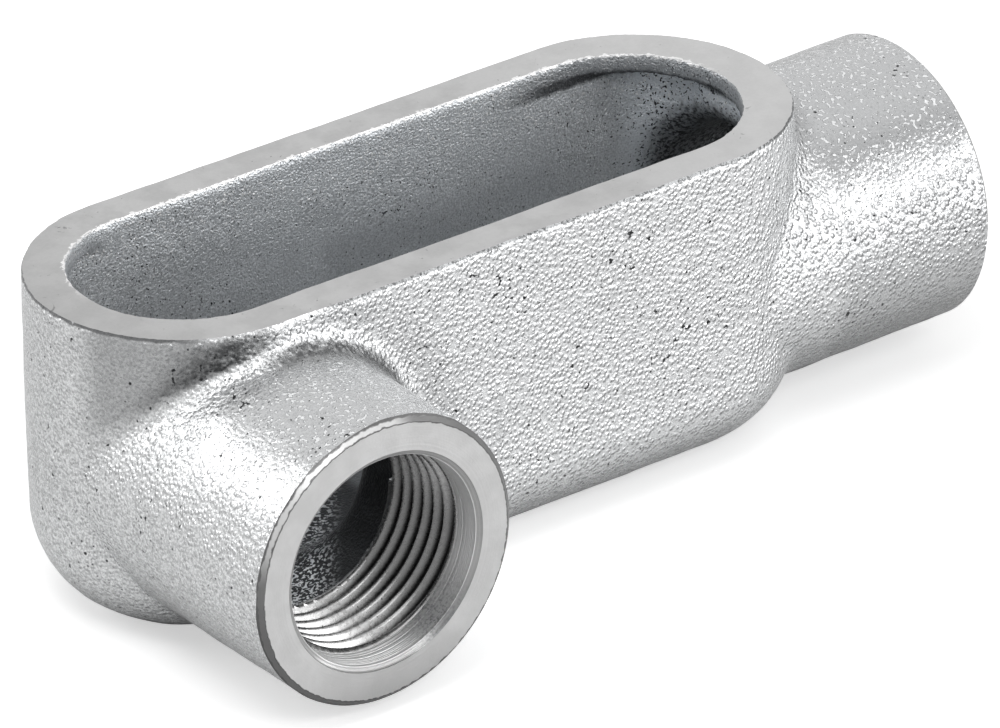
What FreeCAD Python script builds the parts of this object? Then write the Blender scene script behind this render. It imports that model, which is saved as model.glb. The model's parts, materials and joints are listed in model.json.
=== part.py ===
# Conduit body: one hollow casting with an open top, an end hub and a side hub.
# Millimetres. The origin is the centre of the flat bottom, midway between the
# centres of the round ends. +X runs to the end hub, +Z up to the cover rim,
# and the side hub points along -Y.
import FreeCAD, Part
import os

# Outside of the body
BODY_WIDTH = 36.6
END_CENTRE_SPACING = 62.8
BODY_HEIGHT = 40.2
BOTTOM_EDGE_RADIUS = 11.0
RIM_EDGE_CHAMFER = 1.0

# Opening in the cover rim, and the lip round it
OPENING_WIDTH = 26.7
OPENING_CENTRE_SPACING = 61.7
OPENING_OFFSET = -0.45
OPENING_EDGE_BREAK = 0.4
LIP_THICKNESS = 2.4

# Chamber below the lip, which runs back under the lip at both ends
END_UNDERCUT = 1.2
CHAMBER_EDGE_RADIUS = 8.0
FLOOR_THICKNESS = 4.2

# Outside of the hubs, which have one section
HUB_DIAMETER = 34.5
HUB_FACE_DIAMETER = 32.5
HUB_CHAMFER_LENGTH = 0.75
HUB_AXIS_BELOW_RIM = 21.3
SIDE_HUB_REACH = 37.7
SIDE_HUB_SETBACK = 0.7
SIDE_HUB_BLEND_RADIUS = 3.0
END_HUB_REACH = 70.4
END_HUB_BLEND_RADIUS = 2.5

# Bore of each hub, for 3/4 inch taper pipe thread of 14 turns to the inch
MOUTH_DIAMETER = 26.4
LEAD_IN_END_DIAMETER = 25.2
LEAD_IN_DEPTH = 3.7
THREAD_CREST_DIAMETER = 23.8
THREAD_LENGTH = 11.6
PASSAGE_DIAMETER = 26.0

# Radii and places worked out from these
body_radius = BODY_WIDTH / 2
body_half_spacing = END_CENTRE_SPACING / 2
hub_radius = HUB_DIAMETER / 2
hub_face_radius = HUB_FACE_DIAMETER / 2
hub_axis_height = BODY_HEIGHT - HUB_AXIS_BELOW_RIM
side_hub_x = -body_half_spacing - SIDE_HUB_SETBACK
mouth_radius = MOUTH_DIAMETER / 2
lead_in_radius = LEAD_IN_END_DIAMETER / 2
crest_radius = THREAD_CREST_DIAMETER / 2
passage_radius = PASSAGE_DIAMETER / 2
opening_radius = OPENING_WIDTH / 2
opening_left = OPENING_OFFSET - OPENING_CENTRE_SPACING / 2
opening_right = OPENING_OFFSET + OPENING_CENTRE_SPACING / 2
chamber_left = opening_left - opening_radius - END_UNDERCUT
chamber_right = opening_right + opening_radius + END_UNDERCUT
lip_bottom = BODY_HEIGHT - LIP_THICKNESS
SURFACE_TOLERANCE = 1e-4

X = FreeCAD.Vector(1, 0, 0)
Y = FreeCAD.Vector(0, 1, 0)
Z = FreeCAD.Vector(0, 0, 1)


def obround(radius, left, right, bottom, top):
    """A prism whose plan is two half circles, centred at left and right, and straight sides."""
    left_front = FreeCAD.Vector(left, -radius, bottom)
    right_front = FreeCAD.Vector(right, -radius, bottom)
    right_tip = FreeCAD.Vector(right + radius, 0, bottom)
    right_back = FreeCAD.Vector(right, radius, bottom)
    left_back = FreeCAD.Vector(left, radius, bottom)
    left_tip = FreeCAD.Vector(left - radius, 0, bottom)
    outline = Part.Wire([
        Part.LineSegment(left_front, right_front).toShape(),
        Part.Arc(right_front, right_tip, right_back).toShape(),
        Part.LineSegment(right_back, left_back).toShape(),
        Part.Arc(left_back, left_tip, left_front).toShape(),
    ])
    return Part.Face(outline).extrude(Z * (top - bottom))


def level_edges(shape, height):
    """The edges of a shape that lie wholly in one level plane."""
    found = []
    for edge in shape.Edges:
        box = edge.BoundBox
        if max(abs(box.ZMin - height), abs(box.ZMax - height)) < SURFACE_TOLERANCE:
            found.append(edge)
    return found


def upright_edges(shape):
    """The straight edges of a shape that run along Z."""
    found = []
    for edge in shape.Edges:
        box = edge.BoundBox
        if box.XLength < SURFACE_TOLERANCE and box.YLength < SURFACE_TOLERANCE:
            found.append(edge)
    return found


def shared_edges(joined, first, second):
    """The edges of a joined shape along which two of its parts meet."""
    found = []
    for edge in joined.Edges:
        middle = edge.valueAt((edge.FirstParameter + edge.LastParameter) / 2)
        point = Part.Vertex(middle)
        gaps = [point.distToShape(part.Shells[0])[0] for part in (first, second)]
        if max(gaps) < SURFACE_TOLERANCE:
            found.append(edge)
    return found


def turned(profile, base, direction):
    """A turned solid, from pairs of distance along the axis and radius."""
    points = [FreeCAD.Vector(radius, 0, along) for along, radius in profile]
    section = Part.Face(Part.makePolygon(points + points[:1]))
    solid = section.revolve(FreeCAD.Vector(0, 0, 0), Z, 360)
    solid.Placement = FreeCAD.Placement(base, FreeCAD.Rotation(Z, direction))
    return solid


def hub(base, direction, reach):
    """The outside of a hub: a round stub with a chamfer turned at its face."""
    profile = [
        (0, 0),
        (0, hub_radius),
        (reach - HUB_CHAMFER_LENGTH, hub_radius),
        (reach, hub_face_radius),
        (reach, 0),
    ]
    return turned(profile, base, direction)


def machined_bore(base, direction, reach):
    """What is cut from a hub's face inwards: the lead-in and the threaded length."""
    thread_start = reach - LEAD_IN_DEPTH
    thread_end = thread_start - THREAD_LENGTH
    profile = [
        (thread_end, 0),
        (thread_end, crest_radius),
        (thread_start, crest_radius),
        (thread_start, lead_in_radius),
        (reach, mouth_radius),
        (reach, 0),
    ]
    return turned(profile, base, direction)


def cast_passage(base, direction, reach):
    """The wider cored hole from the inner end of a thread to the chamber."""
    length = reach - LEAD_IN_DEPTH - THREAD_LENGTH
    return Part.makeCylinder(passage_radius, length, base, direction)


def chamber():
    """The hollow below the lip, longer than the opening by the undercut at each end."""
    corner = FreeCAD.Vector(chamber_left, -opening_radius, FLOOR_THICKNESS)
    length = chamber_right - chamber_left
    hollow = Part.makeBox(length, 2 * opening_radius, lip_bottom - FLOOR_THICKNESS, corner)
    rounded = upright_edges(hollow) + level_edges(hollow, FLOOR_THICKNESS)
    return hollow.makeFillet(CHAMBER_EDGE_RADIUS, rounded)


def outside(hubs):
    """The body and its hubs as one solid, with cast blends where they meet."""
    body = obround(body_radius, -body_half_spacing, body_half_spacing, 0, BODY_HEIGHT)
    body = body.makeFillet(BOTTOM_EDGE_RADIUS, level_edges(body, 0))
    shape = body
    for stub, blend_radius in hubs:
        joined = shape.fuse(stub)
        shape = joined.makeFillet(blend_radius, shared_edges(joined, body, stub))
    return shape.makeChamfer(RIM_EDGE_CHAMFER, level_edges(shape, BODY_HEIGHT))


def inside(passages):
    """The cored hollow as one solid: the chamber, the ways into the hubs and the opening."""
    opening = obround(opening_radius, opening_left, opening_right, lip_bottom, BODY_HEIGHT)
    return chamber().fuse(passages + [opening])


def with_broken_opening_edge(casting):
    """Chamfers the edge between the rim and the opening."""
    inner = []
    for edge in level_edges(casting, BODY_HEIGHT):
        box = edge.BoundBox
        if max(-box.YMin, box.YMax) < opening_radius + OPENING_EDGE_BREAK:
            inner.append(edge)
    return casting.makeChamfer(OPENING_EDGE_BREAK, inner)


def conduit_body():
    """The whole casting with its machined bores."""
    side_base = FreeCAD.Vector(side_hub_x, 0, hub_axis_height)
    end_base = FreeCAD.Vector(0, 0, hub_axis_height)
    places = [
        (side_base, -Y, SIDE_HUB_REACH, SIDE_HUB_BLEND_RADIUS),
        (end_base, X, END_HUB_REACH, END_HUB_BLEND_RADIUS),
    ]
    hubs = [(hub(base, way, reach), blend) for base, way, reach, blend in places]
    passages = [cast_passage(base, way, reach) for base, way, reach, _ in places]
    bores = [machined_bore(base, way, reach) for base, way, reach, _ in places]
    casting = outside(hubs).cut(inside(passages)).cut(Part.makeCompound(bores))
    return with_broken_opening_edge(casting)


os.makedirs("parts", exist_ok=True)
part = conduit_body()
print("conduit_body solids", len(part.Solids), "valid", part.isValid(), "volume", round(part.Volume, 1))
part.exportStep("parts/conduit_body.step")
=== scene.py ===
# The visual model of a conduit body: one rough casting with a ground rim and two tapped hubs.
# It is made as the real one is: a blank is cast, then its rim, hub faces and threads are cut.
# Lengths in the shape functions are millimetres in the frame's axes. Blender gets metres.
import json
import math

import bmesh
import bpy
import numpy as np
from mathutils import Matrix, Vector


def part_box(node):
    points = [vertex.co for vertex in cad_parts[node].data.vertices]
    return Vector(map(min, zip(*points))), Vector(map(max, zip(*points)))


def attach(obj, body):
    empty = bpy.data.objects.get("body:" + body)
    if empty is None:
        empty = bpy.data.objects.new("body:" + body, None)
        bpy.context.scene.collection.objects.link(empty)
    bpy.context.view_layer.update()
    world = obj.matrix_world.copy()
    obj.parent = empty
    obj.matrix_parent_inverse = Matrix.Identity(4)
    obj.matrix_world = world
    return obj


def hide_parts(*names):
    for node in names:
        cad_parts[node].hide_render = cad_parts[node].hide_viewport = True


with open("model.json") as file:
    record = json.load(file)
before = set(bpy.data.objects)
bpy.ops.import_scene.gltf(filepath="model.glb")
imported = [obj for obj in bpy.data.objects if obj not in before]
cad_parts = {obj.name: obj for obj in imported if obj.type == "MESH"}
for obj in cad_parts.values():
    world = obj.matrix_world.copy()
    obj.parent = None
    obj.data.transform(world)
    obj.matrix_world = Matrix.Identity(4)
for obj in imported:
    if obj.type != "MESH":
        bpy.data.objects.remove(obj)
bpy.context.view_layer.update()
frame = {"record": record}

MM = 0.001
SEED = 7

# Sizes read from the frame
cad_low, cad_high = [np.array(corner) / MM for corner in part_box("conduit_body")]
mounts = {mount["name"]: mount for mount in frame["record"]["mounts"]}
BODY_HEIGHT = mounts["cover_rim"]["pos_m"][2] / MM
THREAD_CREST_RADIUS = mounts["side_hub_thread"]["dims"]["r_mm"]
THREAD_LENGTH = mounts["side_hub_thread"]["dims"]["length_mm"]
SIDE_HUB_X = mounts["side_hub_thread"]["pos_m"][0] / MM
HUB_AXIS_HEIGHT = mounts["side_hub_thread"]["pos_m"][2] / MM
BODY_RADIUS = cad_high[1]
BODY_HALF_SPACING = -cad_low[0] - BODY_RADIUS
SIDE_HUB_REACH = -cad_low[1]
END_HUB_REACH = cad_high[0]

# Sizes of the casting that the frame's box and mounts don't give
BOTTOM_EDGE_RADIUS = 11.0
OPENING_RADIUS = 13.35
OPENING_LEFT = -31.3
OPENING_RIGHT = 30.4
LIP_THICKNESS = 2.4
END_UNDERCUT = 1.2
CHAMBER_EDGE_RADIUS = 8.0
FLOOR_THICKNESS = 4.2
HUB_RADIUS = 17.25
HUB_FACE_RADIUS = 16.6
HUB_CHAMFER_LENGTH = 0.6
SIDE_HUB_BLEND_RADIUS = 3.6
SIDE_HUB_TIGHT_BLEND_RADIUS = 1.5
END_HUB_BLEND_RADIUS = 2.8
PASSAGE_RADIUS = 13.0
PASSAGE_MOUTH_RADIUS = 3.6
RIM_EDGE_RADIUS = 0.85
RIM_GRIND_DEPTH = 0.4
OPENING_EDGE_RADIUS = 0.75
OPENING_EDGE_GRIND = 0.4
CORED_BORE_RADIUS = 11.2
LIP_EDGE_RADIUS = 0.5
MACHINING_STOCK = 1.6

# Turned bore and its taper thread, 14 turns to the inch
MOUTH_RADIUS = 13.2
MOUTH_EDGE_RADIUS = 12.55
MOUTH_EDGE_DEPTH = 0.5
LEAD_IN_END_RADIUS = 12.35
LEAD_IN_DEPTH = 3.7
THREAD_PITCH = 1.814
THREAD_DEPTH = 1.3
THREAD_BOW = 0.12
THREAD_TAPER = 1 / 32
THREAD_RUN_OUT = 1.0
THREAD_RUN_IN = 1.0

# Lumps of the mould's skin, as pairs of width and height
SKIN_LUMPS = ((11, 0.13), (4.3, 0.07), (1.9, 0.05))

# How far from the skin a crevice is felt, and the share of full painted shade on undersides, at the
# bottom edge and along the foot of each hub
CREVICE_REACH = 10.0
UNDERSIDE_PAINTED_SHADE = 0.54
BOTTOM_EDGE_PAINTED_SHADE = 0.85
HUB_FOOT_PAINTED_SHADE = 0.9

# The grid on which the blank's surface is found, shifted so that no flat face lies in its planes
GRID_STEP = 0.72
GRID_MARGIN = 2.5
GRID_SHIFT = 0.137
SETTLING_ROUNDS = 3

# Places that several shapes and materials share
BODY_END = BODY_HALF_SPACING + BODY_RADIUS
OPENING_END = OPENING_RIGHT + OPENING_RADIUS
LIP_BOTTOM = BODY_HEIGHT - LIP_THICKNESS
X = np.array([1.0, 0.0, 0.0])
Y = np.array([0.0, 1.0, 0.0])

# Each hub's name, the place of its axis along the body, its direction and the reach of its face
HUBS = (("side", SIDE_HUB_X, -Y, SIDE_HUB_REACH), ("end", 0.0, X, END_HUB_REACH))


def smooth(low, high, value):
    """0 below low, 1 above high and an S curve between them."""
    share = np.clip((value - low) / (high - low), 0.0, 1.0)
    return share * share * (3 - 2 * share)


class Lumps:
    """Smooth random lumps of one width, from seeded values on a grid."""

    def __init__(self, width, seed):
        self.width = width
        self.low = cad_low - 2 * GRID_MARGIN
        span = cad_high - cad_low + 4 * GRID_MARGIN
        shape = np.ceil(span / width).astype(int) + 2
        self.values = np.random.default_rng(seed).uniform(-1, 1, shape)

    def at(self, points):
        place = (points - self.low) / self.width
        cell = np.clip(np.floor(place).astype(int), 0, np.array(self.values.shape) - 2)
        share = np.clip(place - cell, 0, 1)
        share = share * share * (3 - 2 * share)
        total = 0
        for corner in np.ndindex(2, 2, 2):
            weight = np.prod(np.where(corner, share, 1 - share), axis=-1)
            total = total + weight * self.values[tuple((cell + corner).T)]
        return total


def obround_distance(points, radius, left, right):
    """Distance outside an upright prism whose plan is two half circles and straight sides."""
    along = points[:, 0] - np.clip(points[:, 0], left, right)
    return np.hypot(along, points[:, 1]) - radius


def rounded_corner(first, second, radius):
    """The overlap of two shapes, with the edge between them rounded."""
    a = np.maximum(first + radius, 0)
    b = np.maximum(second + radius, 0)
    return np.minimum(np.maximum(first, second), -radius) + np.hypot(a, b)


def blend(first, second, radius):
    """Two shapes joined, with the corner between them filled to a radius."""
    a = np.maximum(radius - first, 0)
    b = np.maximum(radius - second, 0)
    return np.maximum(radius, np.minimum(first, second)) - np.hypot(a, b)


def slope(shape, points, step=0.05):
    """Gradient of a shape's distance at points."""
    axes = np.eye(3) * step
    return np.stack([shape(points + axis) - shape(points - axis) for axis in axes], axis=1) / (2 * step)


def about_hub(points, base_x, direction):
    """Distance along a hub's axis from the body's middle, and what leads away from that axis."""
    offset = points - np.array([base_x, 0, HUB_AXIS_HEIGHT])
    along = offset @ direction
    return along, offset - along[:, None] * direction


def hub_distance(points, base_x, direction, radius):
    """Distance outside a hub's endless half cylinder, which starts inside the body."""
    along, away = about_hub(points, base_x, direction)
    return np.maximum(np.linalg.norm(away, axis=1) - radius, -along)


def body_shape(points):
    side = obround_distance(points, BODY_RADIUS, -BODY_HALF_SPACING, BODY_HALF_SPACING)
    bottom = -points[:, 2]
    top = points[:, 2] - BODY_HEIGHT - RIM_GRIND_DEPTH
    body = rounded_corner(side, bottom, BOTTOM_EDGE_RADIUS)
    return rounded_corner(body, top, RIM_EDGE_RADIUS)


def side_hub_shape(points):
    return hub_distance(points, SIDE_HUB_X, -Y, HUB_RADIUS)


def end_hub_shape(points):
    return hub_distance(points, 0, X, HUB_RADIUS)


def joined(first_shape, second_shape, points, radius):
    """Two outside shapes joined by a cast blend, which fades where they run side by side."""
    first = first_shape(points)
    second = second_shape(points)
    radius = np.broadcast_to(radius, len(points))
    near = np.maximum(np.abs(first), np.abs(second)) < 2 * radius
    joined_distance = np.minimum(first, second)
    close = points[near]
    facing = np.sum(slope(first_shape, close) * slope(second_shape, close), axis=1)
    fading = radius[near] * smooth(0.02, 0.75, 1 - facing) + 1e-3
    joined_distance[near] = blend(first[near], second[near], fading)
    return joined_distance


def outside_shape(points):
    """The outside of the casting, with stock above the rim."""
    inward = smooth(SIDE_HUB_X - 6, SIDE_HUB_X + 3, points[:, 0])
    widening = SIDE_HUB_BLEND_RADIUS - SIDE_HUB_TIGHT_BLEND_RADIUS
    side_radius = SIDE_HUB_TIGHT_BLEND_RADIUS + widening * inward
    with_side_hub = joined(body_shape, side_hub_shape, points, side_radius)
    with_end_hub = joined(body_shape, end_hub_shape, points, END_HUB_BLEND_RADIUS)
    return np.minimum(with_side_hub, with_end_hub)


def chamber_shape(points):
    """The hollow below the lip: a box with round upright edges and a round floor edge."""
    left = OPENING_LEFT - OPENING_RADIUS - END_UNDERCUT
    right = OPENING_END + END_UNDERCUT
    across_x = np.abs(points[:, 0] - (left + right) / 2) - (right - left) / 2
    across_y = np.abs(points[:, 1]) - OPENING_RADIUS
    walls = rounded_corner(across_x, across_y, CHAMBER_EDGE_RADIUS)
    floor = FLOOR_THICKNESS - points[:, 2]
    hollow = rounded_corner(walls, floor, CHAMBER_EDGE_RADIUS)
    return rounded_corner(hollow, points[:, 2] - LIP_BOTTOM, LIP_EDGE_RADIUS)


def passage_shape(points, base_x, direction, reach):
    """The cored way through a hub, wide as far as the thread and narrow from there."""
    along, away = about_hub(points, base_x, direction)
    across = np.linalg.norm(away, axis=1)
    thread_end = reach - LEAD_IN_DEPTH - THREAD_LENGTH
    wide = np.maximum(across - PASSAGE_RADIUS, along - thread_end)
    narrow = across - CORED_BORE_RADIUS
    return np.maximum(np.minimum(wide, narrow), -along)


def inside_shape(points):
    """The whole cored hollow."""
    ways = [passage_shape(points, base_x, direction, reach) for _, base_x, direction, reach in HUBS]
    hollow = blend(chamber_shape(points), np.minimum(*ways), PASSAGE_MOUTH_RADIUS)
    opening = obround_distance(points, OPENING_RADIUS, OPENING_LEFT, OPENING_RIGHT)
    opening = np.maximum(opening, LIP_BOTTOM - 1 - points[:, 2])
    above = BODY_HEIGHT + OPENING_EDGE_GRIND - points[:, 2]
    opening = blend(opening, above, OPENING_EDGE_RADIUS)
    return np.minimum(hollow, opening)


def blank_shape(points):
    """The casting before it is machined: negative in the metal."""
    hollow = inside_shape(points)
    solid = np.maximum(outside_shape(points), -hollow)
    side_end = -points[:, 1] - SIDE_HUB_REACH - MACHINING_STOCK
    end_end = points[:, 0] - END_HUB_REACH - MACHINING_STOCK
    return np.maximum(solid, np.maximum(side_end, end_end))


def in_batches(function, points, size=200000):
    return np.concatenate([function(points[i:i + size]) for i in range(0, len(points), size)])


def surface_net(shape):
    """A closed quad mesh on the surface where a shape's distance is zero."""
    low = cad_low - GRID_MARGIN + GRID_SHIFT
    counts = np.ceil((cad_high - cad_low + 2 * GRID_MARGIN) / GRID_STEP).astype(int)
    grid = np.stack(np.meshgrid(*[np.arange(n) for n in counts], indexing="ij"), axis=-1)
    corners = grid.reshape(-1, 3) * GRID_STEP + low
    field = in_batches(shape, corners).reshape(counts)
    inside = field < 0

    # One vertex in each cell that the surface crosses, at the middle of its crossings
    cells = tuple(counts - 1)
    total = np.zeros(cells + (3,))
    crossings = np.zeros(cells)
    for axis in range(3):
        others = [a for a in range(3) if a != axis]
        for shift in np.ndindex(2, 2):
            start = [0, 0, 0]
            start[others[0]], start[others[1]] = shift
            end = list(start)
            end[axis] = 1
            window = [slice(s, s + n) for s, n in zip(start, cells)]
            window_end = [slice(s, s + n) for s, n in zip(end, cells)]
            first = field[tuple(window)]
            second = field[tuple(window_end)]
            crossed = (first < 0) != (second < 0)
            share = np.where(crossed, first / np.where(crossed, first - second, 1), 0)
            place = np.zeros(cells + (3,))
            for a in others:
                place[..., a] = start[a]
            place[..., axis] = share
            total += np.where(crossed[..., None], place, 0)
            crossings += crossed
    used = crossings > 0
    index = np.full(cells, -1)
    index[used] = np.arange(used.sum())
    cell_place = np.stack(np.nonzero(used), axis=1)
    vertices = (cell_place + total[used] / crossings[used][:, None]) * GRID_STEP + low

    # One quad round each grid edge that the surface crosses
    quads = []
    for axis in range(3):
        b, c = [(axis + 1) % 3, (axis + 2) % 3]
        ahead = [slice(None)] * 3
        behind = [slice(None)] * 3
        ahead[axis] = slice(1, None)
        behind[axis] = slice(None, -1)
        changed = inside[tuple(behind)] != inside[tuple(ahead)]
        leaving = inside[tuple(behind)]
        edge = np.stack(np.nonzero(changed), axis=1)
        edge = edge[(edge[:, b] > 0) & (edge[:, c] > 0)]
        around = []
        for back_b, back_c in ((1, 1), (0, 1), (0, 0), (1, 0)):
            cell = edge.copy()
            cell[:, b] -= back_b
            cell[:, c] -= back_c
            around.append(index[tuple(cell.T)])
        quad = np.stack(around, axis=1)
        flip = ~leaving[tuple(edge.T)]
        quad[flip] = quad[flip][:, ::-1]
        quads.append(quad)
    return vertices, np.concatenate(quads)


def cast_blank():
    """The blank's mesh, drawn onto its exact surface and then roughened by the mould."""
    points, quads = surface_net(blank_shape)
    for _ in range(SETTLING_ROUNDS):
        gradient = slope(blank_shape, points)
        size = np.maximum(np.sum(gradient * gradient, axis=1), 0.25)
        move = blank_shape(points) / size
        points = points - np.clip(move, -GRID_STEP / 2, GRID_STEP / 2)[:, None] * gradient
    gradient = slope(blank_shape, points, 0.3)
    normal = gradient / np.maximum(np.linalg.norm(gradient, axis=1), 1e-6)[:, None]
    relief = np.zeros(len(points))
    for index, (width, height) in enumerate(SKIN_LUMPS):
        relief += height * Lumps(width, SEED + index).at(points)
    return points + normal * relief[:, None], quads


def mesh_object(name, points, faces):
    """A Blender object from points in millimetres and faces, either all triangles or all quads."""
    mesh = bpy.data.meshes.new(name)
    faces = np.asarray(faces)
    mesh.vertices.add(len(points))
    mesh.vertices.foreach_set("co", (np.asarray(points) * MM).astype(np.float32).ravel())
    sides = faces.shape[1]
    mesh.loops.add(faces.size)
    mesh.loops.foreach_set("vertex_index", faces.astype(np.int32).ravel())
    mesh.polygons.add(len(faces))
    mesh.polygons.foreach_set("loop_start", np.arange(0, faces.size, sides, dtype=np.int32))
    mesh.update(calc_edges=True)
    mesh.validate()
    made = bpy.data.objects.new(name, mesh)
    bpy.context.scene.collection.objects.link(made)
    return made


def away_from(direction, angle):
    """Unit vectors away from a hub's axis, at angles from the level one."""
    side = np.cross([0, 0, 1], direction)
    up = np.array([0.0, 0.0, 1.0])
    return np.cos(angle)[..., None] * side + np.sin(angle)[..., None] * up


def turned_cutter(name, profile, base, direction):
    """A closed cutter turned about a hub's axis, from pairs of distance along it and radius."""
    segments = 160
    ring = away_from(direction, np.arange(segments) * 2 * math.pi / segments)
    points = [base + along * direction + radius * ring for along, radius in profile]
    count = len(profile)
    ends = [base + profile[0][0] * direction, base + profile[-1][0] * direction]
    points = np.concatenate(points + [ends])
    faces = []
    for row in range(count - 1):
        for i in range(segments):
            j = (i + 1) % segments
            a, b = row * segments + i, row * segments + j
            faces.append((a, b, b + segments))
            faces.append((a, b + segments, a + segments))
    first_centre = count * segments
    last = (count - 1) * segments
    for i in range(segments):
        j = (i + 1) % segments
        faces.append((first_centre, j, i))
        faces.append((first_centre + 1, last + i, last + j))
    return mesh_object(name, points, faces)


def thread_relief(phase):
    """Height of the thread's groove above its crest, from 0 to 1, for a phase of one turn."""
    depth = 1 - np.abs((phase % 1.0) - 0.5) * 2
    return np.clip(depth * (1 + THREAD_BOW) - THREAD_BOW * np.sin(depth * math.pi / 2), 0, 1)


def thread_cutter(name, base, direction, reach):
    """The tap: one spiral strip whose radius follows the thread's form, closed at both ends."""
    segments = 112
    rows_per_turn = 8
    thread_start = reach - LEAD_IN_DEPTH
    start = thread_start - THREAD_LENGTH - THREAD_RUN_OUT
    length = THREAD_LENGTH + THREAD_RUN_OUT + THREAD_RUN_IN
    rows = int(math.ceil(length / THREAD_PITCH * rows_per_turn))
    angle_index, row_index = np.meshgrid(np.arange(segments), np.arange(rows + 1), indexing="ij")
    turn = angle_index / segments
    along = start + (row_index / rows_per_turn + turn) * THREAD_PITCH
    crest = THREAD_CREST_RADIUS + (along - thread_start) * THREAD_TAPER
    fading = np.clip((thread_start + THREAD_RUN_IN - along) / (2 * THREAD_RUN_IN), 0, 1)
    radius = crest + THREAD_DEPTH * thread_relief(row_index / rows_per_turn) * fading
    ring = away_from(direction, turn * 2 * math.pi)
    points = (base + along[..., None] * direction + radius[..., None] * ring).reshape(-1, 3)
    width = rows + 1

    # A strip's last column meets its first one turn later
    quads = []
    for i in range(segments - 1):
        for n in range(rows):
            quads.append((i * width + n, (i + 1) * width + n, (i + 1) * width + n + 1, i * width + n + 1))
    last = (segments - 1) * width
    for n in range(rows - rows_per_turn):
        quads.append((last + n, n + rows_per_turn, n + rows_per_turn + 1, last + n + 1))
    faces = []
    for a, b, c, d in quads:
        faces.append((a, b, c))
        faces.append((a, c, d))

    # Each end is closed by a fan to a point on the axis
    lower = [i * width for i in range(segments)] + list(range(rows_per_turn, 0, -1))
    upper = [i * width + rows for i in range(segments)]
    upper += [last + n for n in range(rows - 1, rows - rows_per_turn - 1, -1)]
    first_centre = len(points)
    points = np.concatenate([points, [base + start * direction, base + (start + length + 1) * direction]])
    for ring_points, centre, turned_over in ((lower, first_centre, True), (upper, first_centre + 1, False)):
        for a, b in zip(ring_points, ring_points[1:] + ring_points[:1]):
            faces.append((centre, b, a) if turned_over else (centre, a, b))
    return mesh_object(name, points, faces)


def box_cutter(name, low, high):
    """A closed box."""
    points = [(x, y, z) for x in (low[0], high[0]) for y in (low[1], high[1]) for z in (low[2], high[2])]
    faces = [(0, 1, 3, 2), (4, 6, 7, 5), (0, 4, 5, 1), (2, 3, 7, 6), (0, 2, 6, 4), (1, 5, 7, 3)]
    return mesh_object(name, np.array(points), faces)


def hub_cutter(name, base, direction, reach):
    """What a lathe takes off a hub: the bore, the lead-in, the face and its chamfer."""
    thread_start = reach - LEAD_IN_DEPTH
    inner = thread_start - THREAD_LENGTH - THREAD_RUN_OUT
    lead_in_step = 0.5
    beyond = 5.0
    back = 2.0
    chamfer_slope = (HUB_RADIUS - HUB_FACE_RADIUS) / HUB_CHAMFER_LENGTH
    profile = [
        (inner, THREAD_CREST_RADIUS + (inner - thread_start) * THREAD_TAPER),
        (thread_start - lead_in_step, THREAD_CREST_RADIUS),
        (thread_start, LEAD_IN_END_RADIUS),
        (reach - MOUTH_EDGE_DEPTH, MOUTH_EDGE_RADIUS),
        (reach, MOUTH_RADIUS),
        (reach, HUB_FACE_RADIUS),
        (reach - back, HUB_FACE_RADIUS + back * chamfer_slope),
        (reach - back, HUB_RADIUS + beyond),
        (reach + beyond, HUB_RADIUS + beyond),
    ]
    return turned_cutter(name, profile, base, direction)


def cut(target, cutter):
    """Takes a cutter's volume out of the target for good."""
    modifier = target.modifiers.new("cut", "BOOLEAN")
    modifier.operation = "DIFFERENCE"
    modifier.solver = "MANIFOLD"
    modifier.object = cutter
    graph = bpy.context.evaluated_depsgraph_get()
    result = bpy.data.meshes.new_from_object(target.evaluated_get(graph))
    target.modifiers.clear()
    old = target.data
    target.data = result
    bpy.data.meshes.remove(old)
    cutter_mesh = cutter.data
    bpy.data.objects.remove(cutter)
    bpy.data.meshes.remove(cutter_mesh)


def drop_crumbs(mesh):
    """Removes specks that the cuts left loose, which is all but the largest joined part."""
    net = bmesh.new()
    net.from_mesh(mesh)
    parts = []
    seen = set()
    for first in net.verts:
        if first in seen:
            continue
        seen.add(first)
        part = [first]
        for vertex in part:
            for edge in vertex.link_edges:
                other = edge.other_vert(vertex)
                if other not in seen:
                    seen.add(other)
                    part.append(other)
        parts.append(part)
    parts.sort(key=len)
    for crumb in parts[:-1]:
        bmesh.ops.delete(net, geom=crumb, context="VERTS")
    net.to_mesh(mesh)
    net.free()


def read(items, name, size=1, kind=float):
    """One property of all vertices, corners or faces of a mesh."""
    values = np.zeros(len(items) * size, kind)
    items.foreach_get(name, values)
    return values.reshape(-1, size) if size > 1 else values


def store_painted_shade(mesh):
    """Stores each vertex's painted shade, 0 to 1: in corners, on the hubs' feet and round the underside."""
    points = read(mesh.vertices, "co", 3) / MM
    outward = slope(outside_shape, points, 0.3)
    outward /= np.maximum(np.linalg.norm(outward, axis=1), 1e-6)[:, None]
    start = outside_shape(points)
    clear = (outside_shape(points + outward * CREVICE_REACH) - start) / CREVICE_REACH
    right, up = outward[:, 0], outward[:, 2]
    depth = smooth(0.0, 0.6, 1 - clear) * (1 - smooth(0.2, 0.5, up))
    depth *= smooth(-0.15, 0.35, -right) + 0.3 * smooth(0.2, 0.6, right)

    # A line of painted shade along the top of each hub where it leaves the wall, fainter at the end hub
    from_wall = body_shape(points)
    foot = smooth(0.5, 0.9, from_wall) * (1 - smooth(1.3, 4.0, from_wall))
    x = points[:, 0]
    on_hub = smooth(SIDE_HUB_X - 5, SIDE_HUB_X + 1, x) * (1 - 0.7 * smooth(20, 30, x))
    foot *= HUB_FOOT_PAINTED_SHADE * smooth(0.2, 0.45, up) * (points[:, 1] < 0) * on_hub

    # Painted shade on the rounded bottom edge, and on all that faces down
    edge = BOTTOM_EDGE_PAINTED_SHADE * smooth(0.66, 0.8, -up) * (1 - smooth(0.86, 0.95, -up))
    under = UNDERSIDE_PAINTED_SHADE * smooth(0.1, 0.9, -up)
    depth = np.max([depth, foot, edge, under], axis=0)
    mesh.attributes.new("crevice", "FLOAT", "POINT").data.foreach_set("value", depth.astype(np.float32))


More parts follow.
